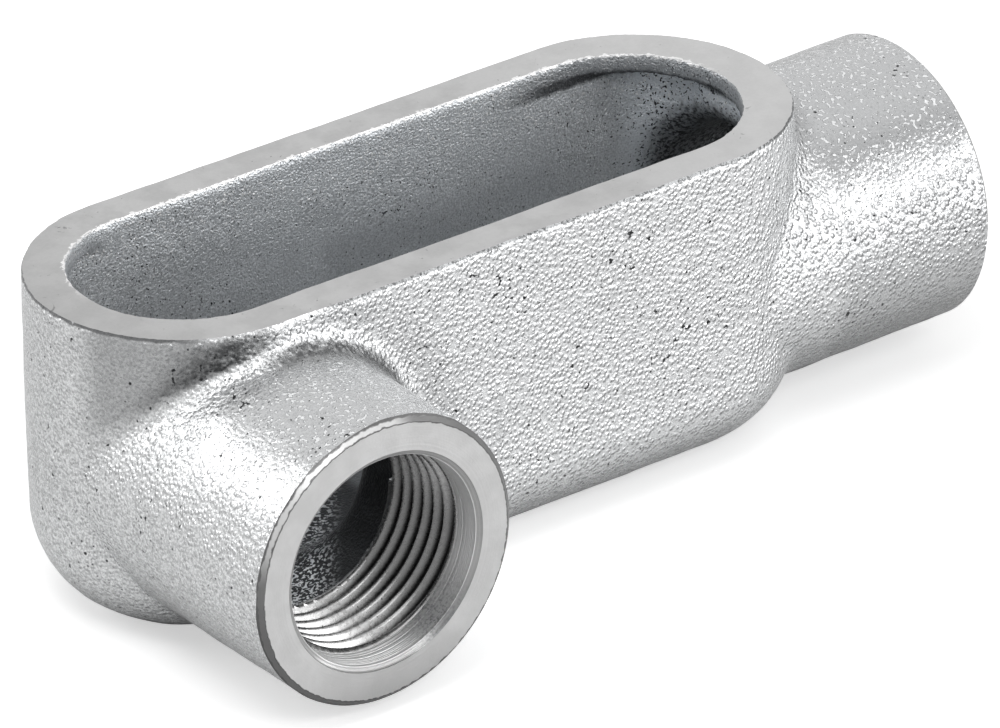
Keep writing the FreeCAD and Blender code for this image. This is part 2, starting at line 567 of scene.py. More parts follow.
# Names of the surfaces, in the order of the piece's materials
CAST_OUTSIDE, CAST_INSIDE, GROUND_RIM, TURNED, THREAD = range(5)
SHARP_CAST_ANGLE = math.radians(50)
SHARP_CUT_ANGLE = math.radians(20)

# How near to a cut surface a face's centre lies
RIM_TOLERANCE = 0.01
FACE_TOLERANCE = 0.02
CONE_TOLERANCE = 0.03
SKIN_TOLERANCE = 0.35


def name_surfaces(mesh):
    """Gives each face the material of the way it was made, and marks the machined edges sharp."""
    centre = read(mesh.polygons, "center", 3) / MM
    normal = read(mesh.polygons, "normal", 3)
    kind = np.full(len(centre), CAST_OUTSIDE)
    inner = np.abs(inside_shape(centre)) < np.abs(outside_shape(centre))
    kind[inner] = CAST_INSIDE
    rim = (np.abs(centre[:, 2] - BODY_HEIGHT) < RIM_TOLERANCE) & (normal[:, 2] > 0.99)
    kind[rim] = GROUND_RIM
    for _, base_x, direction, reach in HUBS:
        along, away = about_hub(centre, base_x, direction)
        across = np.linalg.norm(away, axis=1)
        facing = np.sum(away * normal, axis=1) / np.maximum(across, 1e-6)
        below = reach - along
        face = (np.abs(below) < FACE_TOLERANCE) & (across < HUB_FACE_RADIUS + 1)

        # The chamfer round the face, and the lead-in with its broken edge
        chamfer_radius = HUB_FACE_RADIUS + below * (HUB_RADIUS - HUB_FACE_RADIUS) / HUB_CHAMFER_LENGTH
        chamfer = (np.abs(across - chamfer_radius) < CONE_TOLERANCE) & (below < 2.0)
        chamfer &= normal @ direction > 0.3
        lead_depths = (0, MOUTH_EDGE_DEPTH, LEAD_IN_DEPTH)
        lead_radii = (MOUTH_RADIUS, MOUTH_EDGE_RADIUS, LEAD_IN_END_RADIUS)
        lead_radius = np.interp(below, lead_depths, lead_radii)
        lead = (np.abs(across - lead_radius) < CONE_TOLERANCE) & (below < LEAD_IN_DEPTH) & (facing < 0)

        # The thread between its crest and its root, and its grooves that run on into the lead-in
        thread_start = reach - LEAD_IN_DEPTH
        deep = along - thread_start
        crest = THREAD_CREST_RADIUS + deep * THREAD_TAPER
        root = crest + THREAD_DEPTH + 0.06
        thread = (deep < FACE_TOLERANCE) & (deep > -THREAD_LENGTH - THREAD_RUN_OUT - 0.1)
        thread &= (across > crest - 0.05) & (across < root) & (facing < 0.4)
        skin = np.abs(across - PASSAGE_RADIUS) < SKIN_TOLERANCE
        thread &= ~(skin & (deep < -THREAD_LENGTH + 0.05))
        groove = (deep > -0.6) & (deep < THREAD_RUN_IN + 0.1) & (facing < 0.4)
        groove &= (across > lead_radius + CONE_TOLERANCE) & (across < root)
        kind[face | chamfer | lead] = TURNED
        kind[thread | groove] = THREAD
    mesh.polygons.foreach_set("material_index", kind.astype(np.int32))
    mesh.polygons.foreach_set("use_smooth", np.ones(len(centre), bool))
    mark_sharp(mesh, kind, normal)


def mark_sharp(mesh, kind, normal):
    """Marks the edges of machined surfaces and other sharp ones, but none inside the thread."""
    edge_of = read(mesh.loops, "edge_index", kind=np.int32)
    sides = read(mesh.polygons, "loop_total", kind=np.int32)
    face_of = np.repeat(np.arange(len(sides)), sides)
    order = np.argsort(edge_of, kind="stable")
    edge_sorted, face_sorted = edge_of[order], face_of[order]
    starts = np.searchsorted(edge_sorted, np.arange(len(mesh.edges)))
    first = face_sorted[np.minimum(starts, len(order) - 1)]
    second = face_sorted[np.minimum(starts + 1, len(order) - 1)]
    bend = np.arccos(np.clip(np.sum(normal[first] * normal[second], axis=1), -1, 1))
    differ = kind[first] != kind[second]
    machined = (kind[first] >= GROUND_RIM) | (kind[second] >= GROUND_RIM)
    both_thread = (kind[first] == THREAD) & (kind[second] == THREAD)
    limit = np.where(machined, SHARP_CUT_ANGLE, SHARP_CAST_ANGLE)
    sharp = (differ & machined) | ((bend > limit) & ~both_thread)
    mesh.attributes.new("sharp_edge", "BOOLEAN", "EDGE").data.foreach_set("value", sharp)


def casting():
    """The finished casting as one closed mesh."""
    points, quads = cast_blank()
    piece = mesh_object("cast_conduit_body", points, quads)
    cut(piece, box_cutter("rim_cutter", (-80, -60, BODY_HEIGHT), (100, 60, BODY_HEIGHT + 20)))
    for name, base_x, direction, reach in HUBS:
        base = np.array([base_x, 0, HUB_AXIS_HEIGHT])
        cut(piece, hub_cutter(name + "_hub_cutter", base, direction, reach))
        cut(piece, thread_cutter(name + "_thread_cutter", base, direction, reach))
    drop_crumbs(piece.data)
    piece.data.materials.clear()
    name_surfaces(piece.data)
    store_painted_shade(piece.data)
    return piece


class Nodes:
    """Short calls for a material's node tree. Coordinates are object millimetres."""

    def __init__(self, name):
        self.material = bpy.data.materials.new(name)
        self.material.use_nodes = True
        self.tree = self.material.node_tree
        self.tree.nodes.clear()
        self.shader = self.tree.nodes.new("ShaderNodeBsdfPrincipled")
        output = self.tree.nodes.new("ShaderNodeOutputMaterial")
        self.tree.links.new(self.shader.outputs[0], output.inputs[0])
        coordinates = self.tree.nodes.new("ShaderNodeTexCoord")
        self.place = self.tree.nodes.new("ShaderNodeVectorMath")
        self.place.operation = "SCALE"
        self.place.inputs["Scale"].default_value = 1 / MM
        self.tree.links.new(coordinates.outputs["Object"], self.place.inputs[0])
        self.place = self.place.outputs[0]

    def put(self, socket, value):
        if isinstance(value, bpy.types.NodeSocket):
            self.tree.links.new(value, socket)
        else:
            socket.default_value = value

    def noise(self, width, detail=2.0, roughness=0.5, distortion=0.0, place=None):
        node = self.tree.nodes.new("ShaderNodeTexNoise")
        self.put(node.inputs["Vector"], self.place if place is None else place)
        node.inputs["Scale"].default_value = 1 / width
        node.inputs["Detail"].default_value = detail
        node.inputs["Roughness"].default_value = roughness
        node.inputs["Distortion"].default_value = distortion
        return node.outputs["Fac"]

    def attribute(self, name):
        node = self.tree.nodes.new("ShaderNodeAttribute")
        node.attribute_name = name
        return node.outputs["Fac"]

    def cells(self, width, place):
        node = self.tree.nodes.new("ShaderNodeTexVoronoi")
        self.put(node.inputs["Vector"], place)
        node.inputs["Scale"].default_value = 1 / width
        return node.outputs["Distance"]

    def math(self, operation, first, second=0.0, third=0.0):
        node = self.tree.nodes.new("ShaderNodeMath")
        node.operation = operation
        for socket, value in zip(node.inputs, (first, second, third)):
            self.put(socket, value)
        return node.outputs[0]

    def times(self, *factors):
        product = factors[0]
        for factor in factors[1:]:
            product = self.math("MULTIPLY", product, factor)
        return product

    def times_plus(self, first, second, added):
        return self.math("MULTIPLY_ADD", first, second, added)

    def plus(self, first, second):
        return self.math("ADD", first, second)

    def minus(self, first, second):
        return self.math("SUBTRACT", first, second)

    def most(self, *values):
        greatest = values[0]
        for value in values[1:]:
            greatest = self.math("MAXIMUM", greatest, value)
        return greatest

    def length(self, first, second):
        """The length of the slope over two sides at right angles."""
        return self.math("SQRT", self.plus(self.times(first, first), self.times(second, second)))

    def ramp(self, value, low, high, to_low=0.0, to_high=1.0):
        """An S curve from one value at low to another at high, and level beyond them."""
        node = self.tree.nodes.new("ShaderNodeMapRange")
        node.interpolation_type = "SMOOTHSTEP"
        settings = (value, low, high, to_low, to_high)
        for name, setting in zip(("Value", "From Min", "From Max", "To Min", "To Max"), settings):
            self.put(node.inputs[name], setting)
        return node.outputs[0]

    def mix(self, share, first, second):
        node = self.tree.nodes.new("ShaderNodeMix")
        node.data_type = "RGBA"
        self.put(node.inputs["Factor"], share)
        self.put(node.inputs[6], first)
        self.put(node.inputs[7], second)
        return node.outputs[2]

    def bump(self, height, depth_mm, normal=None):
        """Bump of a height from 0 to 1 that stands for a real depth."""
        node = self.tree.nodes.new("ShaderNodeBump")
        node.inputs["Distance"].default_value = depth_mm * MM
        self.put(node.inputs["Height"], height)
        if normal is not None:
            self.put(node.inputs["Normal"], normal)
        return node.outputs[0]

    def separate(self):
        node = self.tree.nodes.new("ShaderNodeSeparateXYZ")
        self.put(node.inputs[0], self.place)
        return node.outputs

    def finish(self, color, roughness, metallic, normal=None):
        self.put(self.shader.inputs["Base Color"], color)
        self.put(self.shader.inputs["Roughness"], roughness)
        self.put(self.shader.inputs["Metallic"], metallic)
        if normal is not None:
            self.put(self.shader.inputs["Normal"], normal)
        return self.material


def grey(level, blue=0.0):
    """A grey from an sRGB level of 0 to 255, a little bluer if asked."""
    channels = []
    for extra in (-blue, 0.0, blue):
        value = (level + extra) / 255
        channels.append(value / 12.92 if value <= 0.04045 else ((value + 0.055) / 1.055) ** 2.4)
    return (*channels, 1.0)


# Greys of the cast outside: plain skin, grainy skin on the side hub, painted shade on the calm hub tops, and
# what lies on them
SKIN_DULL, SKIN_BRIGHT = grey(206, 1), grey(228, 1)
GRAIN_DULL, GRAIN_BRIGHT = grey(186, 1), grey(232, 1)
END_HUB_GREY = grey(186, 1)
# Painted shade on the calm hub tops, lighter at the very top, and painted glints on their single bumps
CALM_PAINTED_SHADE, CALM_TOP_PAINTED_SHADE = grey(158, 1), grey(192, 1)
BUMP_PAINTED_GLINT = grey(250, 1)
# Painted shade on the pebbles' lower sides, smudges, and painted shade left of the side hub
SHADE, SMUDGE, BESIDE_HUB_PAINTED_SHADE = grey(134, 1), grey(140, 1), grey(138, 1)
# Painted shade for crevices and undersides, pits, and a painted dark line along the rim's edge
CREVICE_PAINTED_SHADE, PIT, RIM_EDGE_PAINTED_SHADE = grey(58, 1), grey(45, 1), grey(92, 1)

# Greys of the hollow: zinc, painted light, painted glints, painted shade in the ways into the hubs, and painted
# shade on and under the lip
HOLLOW_DULL, HOLLOW_BRIGHT = grey(198, 3), grey(230, 3)
# Painted light on the far end's wall, and painted glints
END_WALL_PAINTED_LIGHT, PAINTED_GLINT = grey(246, 5), grey(252)
# Painted shade in the ways into the hubs, and painted glints there
WAY_PAINTED_BLACK, SIDE_WAY_PAINTED_SHADE, END_WAY_PAINTED_SHADE = grey(14, 2), grey(24, 2), grey(98, 2)
WAY_PAINTED_GLINT, HOLLOW_PIT = grey(225, 2), grey(50, 2)
# Painted shade on the lip, a painted shadow below it, and the opening's edge with a painted highlight
LIP_PAINTED_SHADE, UNDER_LIP_PAINTED_SHADOW, WORN_EDGE_AND_HIGHLIGHT = grey(130, 2), grey(52, 2), grey(245)

# Greys of the machined surfaces
RIM_DULL, RIM_BRIGHT, RIM_LEFT_PAINTED_SHADE, RIM_RIGHT_PAINTED_LIGHT = grey(180), grey(191), grey(160), grey(212)
# Nicks, and chips that carry a painted highlight
NICK, CHIP_AND_HIGHLIGHT = grey(115), grey(240)
FACE_DULL, FACE_BRIGHT, FACE_LOW_PAINTED_SHADE = grey(196), grey(206), grey(160)
LEAD_IN_GREY, MOUTH_EDGE_GREY, RING_LINE = grey(240), grey(150), grey(110)
# Painted shade in the lead-in, and dark edge lines with painted shade on the chamfer
LEAD_IN_PAINTED_SHADE, DARK_EDGE_AND_SHADE = grey(96, 1), grey(66)
THREAD_DULL, THREAD_BRIGHT = grey(172), grey(196)
# Painted shade on one side of the thread and in its roots, and specks
THREAD_SIDE_PAINTED_SHADE, ROOT_PAINTED_SHADE, THREAD_SPECK = grey(84), grey(18), grey(70)

# Depth of each surface's bump in millimetres, and how metallic it looks
SKIN_BUMP, HOLLOW_BUMP, GROUND_BUMP, RING_BUMP, THREAD_BUMP = 0.26, 0.09, 0.02, 0.3, 0.015
SKIN_METAL, HOLLOW_METAL, GROUND_METAL, THREAD_METAL = 0.8, 0.65, 0.75, 0.92


def near_hub(n):
    """For whichever hub is near: radius from its axis, depth behind its face, place across and height."""
    x, y, z = n.separate()[:3]
    side_x = n.minus(x, SIDE_HUB_X)
    up = n.minus(z, HUB_AXIS_HEIGHT)
    at_end = n.math("GREATER_THAN", x, -SIDE_HUB_X)
    across = n.times_plus(n.minus(y, side_x), at_end, side_x)
    side_depth = n.plus(y, SIDE_HUB_REACH)
    end_depth = n.minus(END_HUB_REACH, x)
    depth = n.times_plus(n.minus(end_depth, side_depth), at_end, side_depth)
    return n.length(across, up), depth, across, up


def pebbles(n, width, shift=(0, 0, 0)):
    """Rounded bumps with thin valleys between them, as sand leaves them: 1 on top, 0 in the valleys."""
    moved = n.tree.nodes.new("ShaderNodeVectorMath")
    moved.operation = "ADD"
    n.put(moved.inputs[0], n.place)
    moved.inputs[1].default_value = shift
    return n.ramp(n.cells(width, moved.outputs[0]), 0.7, 0.15)


def cast_outside_material():
    """Zinc over sand-cast skin: bright pebbles, dark on their lower sides, calmer on the hubs' tops."""
    n = Nodes("zinc_cast_skin")
    x, y, z = n.separate()[:3]

    # Where the skin differs: under the rim, on each hub, at the left end and on the hubs' tops
    below_rim = n.ramp(z, BODY_HEIGHT - 0.1, BODY_HEIGHT - 0.7)
    on_side_hub = n.times(n.ramp(y, -BODY_RADIUS - 0.5, -BODY_RADIUS - 3.0), n.ramp(x, 0.0, -12.0))
    finer = n.most(on_side_hub, n.ramp(x, -30.0, -42.0))
    on_end_hub = n.ramp(x, BODY_END - 3.0, BODY_END + 1.0)
    side_calm = n.times(on_side_hub, n.ramp(z, HUB_AXIS_HEIGHT + 5.0, HUB_AXIS_HEIGHT + 13.0))
    lowered = n.times_plus(n.minus(END_HUB_REACH, x), 0.11, z)
    end_calm = n.times(on_end_hub, n.ramp(lowered, HUB_AXIS_HEIGHT + 6.6, HUB_AXIS_HEIGHT + 10.4))
    calm = n.most(side_calm, end_calm)

    # Relief: pebbles, grain and waves, low on the calm tops, where single bumps stand out
    pebble_width = 0.58
    coarse = pebbles(n, pebble_width)
    lower_side = pebbles(n, pebble_width, (0.1, 0.0, -0.12))
    fine = n.noise(0.27, detail=2.5, roughness=0.55)
    waves = n.noise(1.7, detail=1.0)
    bump_noise = n.times_plus(n.noise(6.0, detail=1.0), 0.16, n.noise(0.45, detail=0.0))
    bumps = n.ramp(bump_noise, 0.68, 0.76)
    height = n.times_plus(coarse, 0.45, n.times(fine, 0.45))
    height = n.times_plus(waves, 0.3, height)
    height = n.times(height, n.times_plus(calm, -0.7, 1.0), n.times_plus(finer, -0.25, 1.0))
    height = n.times_plus(bumps, n.times(calm, 1.1), height)
    shown = n.times(height, n.times_plus(below_rim, 0.6, 0.4))

    # Zinc, with the pebbles' lower sides in shade
    plain = n.mix(n.ramp(fine, 0.35, 0.65), SKIN_DULL, SKIN_BRIGHT)
    grains = n.mix(n.ramp(n.noise(0.3, detail=1.0), 0.38, 0.62), GRAIN_DULL, GRAIN_BRIGHT)
    colour = n.mix(n.times(finer, 0.8), plain, grains)
    colour = n.mix(n.times(on_end_hub, 0.6), colour, END_HUB_GREY)
    # Painted shade on the calm hub tops, lighter at the very top, with painted glints on the single bumps
    below_top = n.ramp(z, HUB_AXIS_HEIGHT + 15.5, HUB_AXIS_HEIGHT + 12.0)
    calm_painted_shade = n.mix(n.times(end_calm, below_top), CALM_TOP_PAINTED_SHADE, CALM_PAINTED_SHADE)
    colour = n.mix(n.times(calm, 0.75), colour, n.mix(bumps, calm_painted_shade, BUMP_PAINTED_GLINT))
    shade = n.ramp(n.minus(coarse, lower_side), 0.05, 0.4)
    rough_share = n.times_plus(n.most(calm, n.times(finer, 0.6)), -0.8, 1.0)
    colour = n.mix(n.times(shade, rough_share, 0.64), colour, SHADE)

    # Smudges, painted shade left of the side hub, painted shade from the crevice attribute, and pits
    smudges = n.ramp(n.noise(2.6, detail=3.0, roughness=0.6), 0.36, 0.28)
    colour = n.mix(n.times(smudges, 0.25), colour, SMUDGE)
    off_hub = n.ramp(near_hub(n)[0], HUB_RADIUS + 0.3, HUB_RADIUS + 1.8)
    # Painted shade on the body's wall left of the side hub
    painted_shade_beside_hub = n.times(n.ramp(y, -3.0, -8.0), n.ramp(x, -38.0, -42.0), off_hub)
    painted_shade_beside_hub = n.times(painted_shade_beside_hub, n.ramp(z, HUB_AXIS_HEIGHT, HUB_AXIS_HEIGHT + 6.0))
    colour = n.mix(n.times(painted_shade_beside_hub, 0.6), colour, BESIDE_HUB_PAINTED_SHADE)
    # Painted shade in crevices, at the hubs' feet, on the bottom edge and underneath
    painted_shade = n.times(n.attribute("crevice"), n.ramp(n.noise(0.8, detail=3.0), 0.3, 0.6, 0.65, 1.0))
    colour = n.mix(painted_shade, colour, CREVICE_PAINTED_SHADE)
    pit_noise = n.times_plus(n.noise(8.0, detail=2.0), -0.4, n.noise(0.62, detail=1.0, roughness=0.4))
    colour = n.mix(n.ramp(pit_noise, 0.025, 0.065, 1.0, 0.0), colour, PIT)

    # Painted shade: a dark line along the rim's edge, left off above the side hub
    wander = n.times_plus(n.noise(1.1, detail=3.0), 0.5, z)
    edge_line = n.ramp(wander, BODY_HEIGHT - 0.22, BODY_HEIGHT + 0.02)
    unshaded_edge = n.ramp(n.math("ABSOLUTE", n.plus(x, BODY_HALF_SPACING + 2.0)), 10.0, 6.0)
    unshaded_edge = n.times(unshaded_edge, n.ramp(y, -6.0, -12.0))
    edge_line = n.times(edge_line, n.times_plus(unshaded_edge, -0.85, 0.85))
    colour = n.mix(edge_line, colour, RIM_EDGE_PAINTED_SHADE)
    return n.finish(colour, n.ramp(fine, 0.3, 0.7, 0.22, 0.34), SKIN_METAL, n.bump(shown, SKIN_BUMP))


def cast_inside_material():
    """The hollow's skin: darker and finer, painted glints below the rim, painted shade in the hubs' ways."""
    n = Nodes("cored_hollow_skin")
    x, y, z = n.separate()[:3]
    grains = pebbles(n, 0.4)
    fine = n.noise(0.22, detail=2.0)
    upper = n.ramp(z, BODY_HEIGHT - 12, BODY_HEIGHT - 2)
    # Sparkles below the rim: raised bumps, with painted glints
    sparkle_noise = n.times_plus(n.noise(5.0, detail=1.0), 0.12, n.noise(0.33, detail=0.0))
    sparkles = n.times(n.ramp(sparkle_noise, 0.74, 0.8), upper)
    height = n.times_plus(grains, 0.3, n.times_plus(sparkles, 1.2, fine))

    # Zinc, with painted light on the far end's wall
    on_end_wall = n.ramp(x, OPENING_RIGHT + 8, OPENING_END)
    colour = n.mix(n.ramp(fine, 0.35, 0.65), HOLLOW_DULL, HOLLOW_BRIGHT)
    colour = n.mix(n.times(on_end_wall, 0.8), colour, END_WALL_PAINTED_LIGHT)
    colour = n.mix(sparkles, colour, PAINTED_GLINT)

    # Painted shade: the ways into the hubs, the low wall by the near one and the floor
    ragged_radius = n.times_plus(n.noise(0.9, detail=3.0), 3.0, near_hub(n)[0])
    in_side_way = n.times(n.ramp(y, 7.0, -8.0), n.ramp(x, -6.0, -16.0))
    in_side_way = n.times(in_side_way, n.ramp(ragged_radius, 28.0, 21.0))
    in_end_way = n.ramp(x, OPENING_END - 3, OPENING_END + 1)
    in_end_way = n.times(in_end_way, n.ramp(ragged_radius, 18.5, 16.0))
    low_by_way = n.times(n.ramp(z, 20.0, 12.0), n.ramp(x, -3.0, -10.0))
    on_floor = n.times(n.ramp(z, 12.0, 6.0), 0.8)
    painted_shade_in_ways = n.most(in_side_way, low_by_way, in_end_way, on_floor)
    mottled = n.ramp(n.noise(0.5, detail=2.0), 0.56, 0.42, 0.72, 0.97)
    painted_shade_in_ways = n.times(painted_shade_in_ways, n.most(mottled, n.ramp(x, 5.0, -5.0, 0.0, 0.97)))

    # The painted shade there: dark grey, with painted glints on the lit side of the way
    way_shade = n.mix(n.ramp(x, -5.0, 5.0), SIDE_WAY_PAINTED_SHADE, END_WAY_PAINTED_SHADE)
    way_shade = n.mix(n.ramp(n.noise(0.45, detail=2.0), 0.45, 0.68), WAY_PAINTED_BLACK, way_shade)
    lit_side = n.ramp(n.times_plus(y, -0.75, x), -10.0, -15.0)
    way_sparkles = n.times(n.ramp(n.noise(0.4, detail=1.0), 0.5, 0.6), lit_side)
    colour = n.mix(painted_shade_in_ways, colour, n.mix(way_sparkles, way_shade, WAY_PAINTED_GLINT))
    pit_noise = n.times_plus(on_end_wall, -0.08, n.noise(0.32, detail=1.0, roughness=0.4))
    pit_noise = n.times_plus(n.noise(5.0, detail=1.0), -0.12, pit_noise)
    colour = n.mix(n.ramp(pit_noise, 0.2, 0.25, 1.0, 0.0), colour, HOLLOW_PIT)

    # Painted shade on the lip at the far end, a painted shadow line below it, and the rubbed edge of the
    # opening, painted brighter on its far side as a highlight
    ragged_height = n.times_plus(n.noise(0.9, detail=3.0), 0.7, z)
    off_line = n.math("ABSOLUTE", n.minus(ragged_height, LIP_BOTTOM))
    by_end = n.ramp(x, 20.0, 30.0)
    on_lip = n.times(n.ramp(z, LIP_BOTTOM, LIP_BOTTOM + 0.5), by_end)
    colour = n.mix(n.times(on_lip, 0.6), colour, LIP_PAINTED_SHADE)
    under_lip = n.times(n.ramp(off_line, 1.1, 0.4), by_end)
    colour = n.mix(n.times(under_lip, 0.9), colour, UNDER_LIP_PAINTED_SHADOW)
    wander = n.times_plus(n.noise(0.7, detail=3.0), 1.4, z)
    worn_edge_and_highlight = n.ramp(wander, BODY_HEIGHT + 0.4, BODY_HEIGHT + 0.55)
    # Painted highlight: the rubbed edge is brighter on the far side
    worn_edge_and_highlight = n.times(worn_edge_and_highlight, n.ramp(y, -3.0, 5.0, 0.25, 1.0))
    colour = n.mix(worn_edge_and_highlight, colour, WORN_EDGE_AND_HIGHLIGHT)
    return n.finish(colour, n.ramp(fine, 0.3, 0.7, 0.3, 0.45), HOLLOW_METAL, n.bump(height, HOLLOW_BUMP))


def ground_rim_material():
    """The rim, ground flat and then plated: satin, with a fine grain, nicks, painted shade and light, and a
    chipped inner edge with a painted highlight.
    """
    n = Nodes("ground_rim")
    clouds = n.noise(3.5, detail=4.0)
    grain = n.noise(0.4, detail=2.0)
    colour = n.mix(n.ramp(clouds, 0.35, 0.65), RIM_DULL, RIM_BRIGHT)
    nicks = n.ramp(n.noise(1.3, detail=3.0, roughness=0.6, distortion=1.5), 0.27, 0.32, 1.0, 0.0)
    colour = n.mix(nicks, colour, NICK)
    x, y = n.separate()[:2]
    # Painted shade towards the rim's left end, painted light towards its right end
    colour = n.mix(n.times(n.ramp(x, -30.0, -50.0), 0.35), colour, RIM_LEFT_PAINTED_SHADE)
    colour = n.mix(n.times(n.ramp(x, 10.0, 44.0), 0.45), colour, RIM_RIGHT_PAINTED_LIGHT)
    beyond = n.most(n.minus(OPENING_LEFT, x), n.minus(x, OPENING_RIGHT), 0.0)
    from_line = n.length(beyond, y)
    ragged = n.times_plus(n.noise(0.9, detail=3.0, roughness=0.6), -2.2, from_line)
    chips_and_highlight = n.ramp(ragged, OPENING_RADIUS - 0.7, OPENING_RADIUS - 0.9)
    # Chips along the inner edge, shown only on the far side as a painted highlight
    colour = n.mix(n.times(chips_and_highlight, n.ramp(y, -1.0, 7.0)), colour, CHIP_AND_HIGHLIGHT)
    return n.finish(colour, n.ramp(grain, 0.3, 0.7, 0.36, 0.48), GROUND_METAL, n.bump(grain, GROUND_BUMP))


def turned_material():
    """The faces, chamfers and lead-ins of the hubs, with fine turning marks, dark outer edges and painted shade.
    """
    n = Nodes("turned_face")
    radius, depth, across, up = near_hub(n)
    clouds = n.noise(3.0, detail=4.0)
    grain = n.noise(0.3, detail=2.0)
    colour = n.mix(n.ramp(clouds, 0.3, 0.7), FACE_DULL, FACE_BRIGHT)
    # Painted shade: the face darker towards its bottom
    colour = n.mix(n.times(n.ramp(up, -9.0, -18.0), 0.8), colour, FACE_LOW_PAINTED_SHADE)

    # The lead-in, its broken edge and painted shade on its lower right
    in_bore = n.ramp(radius, MOUTH_RADIUS + 0.02, MOUTH_RADIUS - 0.02)
    colour = n.mix(in_bore, colour, LEAD_IN_GREY)
    on_mouth_edge = n.times(in_bore, n.ramp(radius, MOUTH_EDGE_RADIUS, MOUTH_EDGE_RADIUS + 0.1))
    off_bottom = n.most(n.ramp(up, -10.5, -8.0), n.ramp(across, 5.0, 8.0))
    colour = n.mix(n.times(on_mouth_edge, off_bottom, 0.9), colour, MOUTH_EDGE_GREY)
    low_right = n.times(n.ramp(across, 0.0, 8.0), n.ramp(up, -3.0, -11.0))
    painted_shade_low_right = n.times(in_bore, low_right, n.ramp(grain, 0.3, 0.6, 1.0, 0.7))
    colour = n.mix(painted_shade_low_right, colour, LEAD_IN_PAINTED_SHADE)

    # Turning marks, which run round the hub's axis, deepest at the bottom of the lead-in
    section = n.tree.nodes.new("ShaderNodeCombineXYZ")
    n.put(section.inputs[0], radius)
    n.put(section.inputs[1], depth)
    rings = n.noise(0.24, detail=1.0, place=section.outputs[0])
    lowest = n.times(in_bore, n.times(n.ramp(up, -8.0, -12.0), n.ramp(across, 6.0, 1.0)))
    ring_lines = n.times(n.ramp(rings, 0.5, 0.35), n.times_plus(lowest, 0.5, 0.12))
    colour = n.mix(n.times(ring_lines, in_bore), colour, RING_LINE)
    ring_height = n.times_plus(lowest, 1.6, n.times_plus(in_bore, 0.25, 0.08))
    marks = n.bump(n.times(rings, ring_height), RING_BUMP)

    # Dark lines along the chamfer's two edges, and painted shade on the chamfer, less at the upper left
    wander = n.times_plus(n.noise(0.9, detail=3.0), 0.5, radius)
    off_edge = n.math("ABSOLUTE", n.minus(wander, HUB_FACE_RADIUS + 0.22))
    edge_line = n.ramp(off_edge, 0.14, 0.03)
    outer_line = n.ramp(wander, HUB_RADIUS - 0.02, HUB_RADIUS + 0.12)
    upper_left = n.times(n.ramp(across, 4.5, 0.5), n.ramp(up, 2.0, 8.0))
    on_chamfer = n.ramp(wander, HUB_FACE_RADIUS + 0.22, HUB_FACE_RADIUS + 0.3)
    dark_chamfer = n.times(on_chamfer, n.times_plus(upper_left, -0.9, 0.9))
    dark_edges_and_shade = n.most(edge_line, outer_line, dark_chamfer)
    colour = n.mix(n.times(dark_edges_and_shade, n.ramp(up, 4.0, -8.0, 0.85, 0.95)), colour, DARK_EDGE_AND_SHADE)
    roughness = n.times_plus(in_bore, 0.12, n.ramp(grain, 0.3, 0.7, 0.32, 0.42))
    return n.finish(colour, roughness, GROUND_METAL, n.bump(grain, GROUND_BUMP, marks))


def thread_material():
    """The cut thread, smooth under its zinc, with painted shade in the roots and along one side."""
    n = Nodes("cut_thread")
    radius, depth, across, up = near_hub(n)
    grain = n.noise(0.5, detail=3.0)
    specks = n.ramp(n.noise(0.5, detail=2.0), 0.7, 0.75)
    crest = n.times_plus(n.minus(LEAD_IN_DEPTH, depth), THREAD_TAPER, THREAD_CREST_RADIUS)
    in_root = n.ramp(n.minus(radius, crest), 0.3, 0.95)
    # Painted shade on the thread's right side and in its roots
    painted_shade_side = n.times(n.ramp(across, 0.0, 8.0), n.ramp(up, 9.0, -2.0))
    colour = n.mix(n.ramp(grain, 0.3, 0.7), THREAD_DULL, THREAD_BRIGHT)
    colour = n.mix(n.times(painted_shade_side, 0.75), colour, THREAD_SIDE_PAINTED_SHADE)
    colour = n.mix(n.times(in_root, n.times_plus(painted_shade_side, 0.85, 0.1)), colour, ROOT_PAINTED_SHADE)
    colour = n.mix(specks, colour, THREAD_SPECK)
    return n.finish(colour, n.ramp(grain, 0.3, 0.7, 0.24, 0.34), THREAD_METAL, n.bump(grain, THREAD_BUMP))


# Camera: fitted to the photograph, as a turn about the rim's middle, where that middle lies to the
# side of and above the lens's axis, a distance and a lens
CAMERA_AZIMUTH = math.radians(-36.75)
CAMERA_ELEVATION = math.radians(28.0)
CAMERA_ROLL = math.radians(-0.93)
CAMERA_DISTANCE = 1184.7
CAMERA_SIDE = -9.894
CAMERA_UP = 20.392
SENSOR_WIDTH = 36.0
CAMERA_LENS = 379.2


def make_camera():
    """The camera at the photograph's place."""
    a, e, roll = CAMERA_AZIMUTH, CAMERA_ELEVATION, CAMERA_ROLL
    back = np.array([math.sin(a) * math.cos(e), -math.cos(a) * math.cos(e), math.sin(e)])
    right = np.array([math.cos(a), math.sin(a), 0])
    up = np.cross(back, right)
    cosine, sine = math.cos(roll), math.sin(roll)
    turn = np.array([[cosine, sine, 0], [-sine, cosine, 0], [0, 0, 1]])
    rows = turn @ np.stack([right, up, back])
    place = rows.T @ np.array([-CAMERA_SIDE, -CAMERA_UP, CAMERA_DISTANCE])
    place += np.array([0, 0, BODY_HEIGHT])
    data = bpy.data.cameras.new("camera")
    data.sensor_width = SENSOR_WIDTH
    data.lens = CAMERA_LENS
    data.clip_start = 0.05
    data.clip_end = 20
    camera = bpy.data.objects.new("camera", data)
    matrix = Matrix(rows.T.tolist()).to_4x4()
    matrix.translation = Vector(place * MM)
    camera.matrix_world = matrix
    bpy.context.scene.collection.objects.link(camera)
    bpy.context.scene.camera = camera


